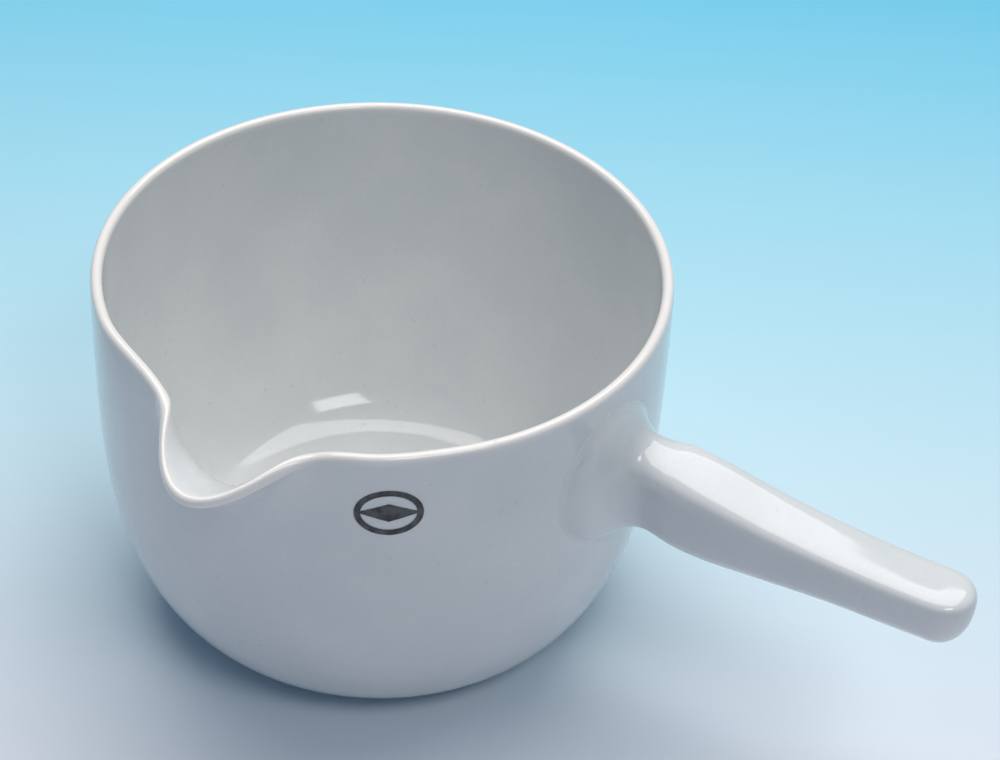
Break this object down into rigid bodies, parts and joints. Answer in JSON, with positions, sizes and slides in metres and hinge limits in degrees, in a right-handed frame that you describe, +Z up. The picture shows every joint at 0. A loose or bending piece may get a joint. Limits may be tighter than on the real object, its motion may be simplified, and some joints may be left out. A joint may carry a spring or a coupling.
{
  "type": "evaporating dish",
  "caption": "Deep flat-bottomed porcelain evaporating bowl with a pulled pouring lip and a hollow side handle set at a right angle to the lip.",
  "frame": {"origin": "centre of the flat base on the bowl's axis, in the plane that the dish rests on", "axes": "+Z up along the bowl's axis, +X along the handle from the wall to its tip, the pouring lip points almost along -Y"},
  "size_m": [0.2048, 0.1411, 0.0882],
  "materials": {
    "glazed_porcelain": "gloss",
    "glazed_slip": "gloss",
    "fired_colour": "satin"
  },
  "bodies": {
    "root": {"bowl": "glazed_porcelain", "handle": "glazed_porcelain", "handle_joint": "glazed_slip", "fired_mark": "fired_colour"}
  },
  "joints": []
}
